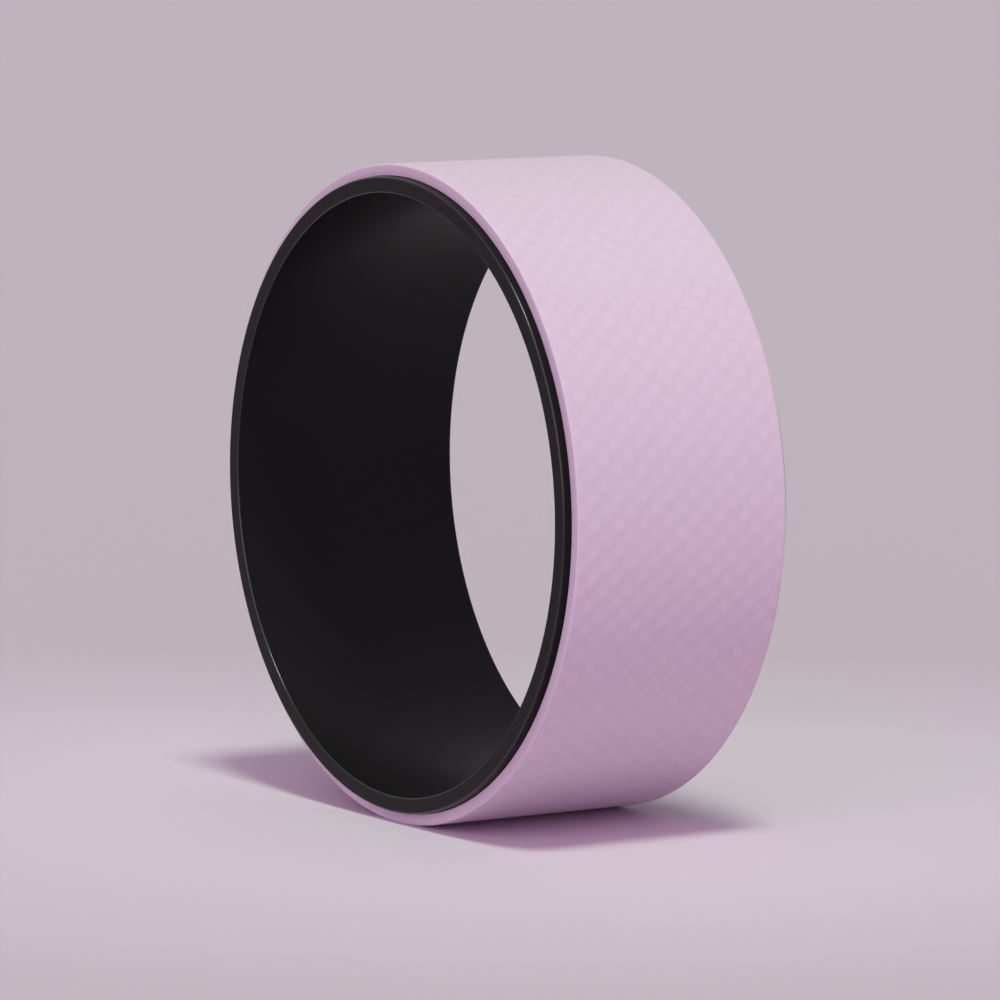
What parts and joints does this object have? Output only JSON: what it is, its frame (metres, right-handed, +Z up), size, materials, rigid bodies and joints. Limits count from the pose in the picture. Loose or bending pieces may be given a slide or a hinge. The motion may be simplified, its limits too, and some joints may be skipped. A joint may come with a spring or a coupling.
{
  "type": "yoga wheel",
  "caption": "Yoga wheel: a rigid black plastic hoop with an open bore and a lilac embossed foam strip glued round it as a cushioned tread, for back bends and rolling.",
  "frame": {"origin": "centre of the wheel, on the axis of its bore, halfway across its width", "axes": "+Y along the wheel's axis, +Z up, with the wheel standing on its tread and the strip's seam on the -X side"},
  "size_m": [0.33, 0.13, 0.3295],
  "materials": {
    "hoop_plastic": "satin black moulded plastic with a faint fine grain",
    "glue": "clear amber contact adhesive, hidden under the strip",
    "tread_foam": "matt lilac closed-cell foam with a shallow pressed non-slip pattern"
  },
  "bodies": {
    "root": {"hoop": "hoop_plastic", "adhesive_film": "glue", "tread_pad": "tread_foam"}
  },
  "joints": []
}
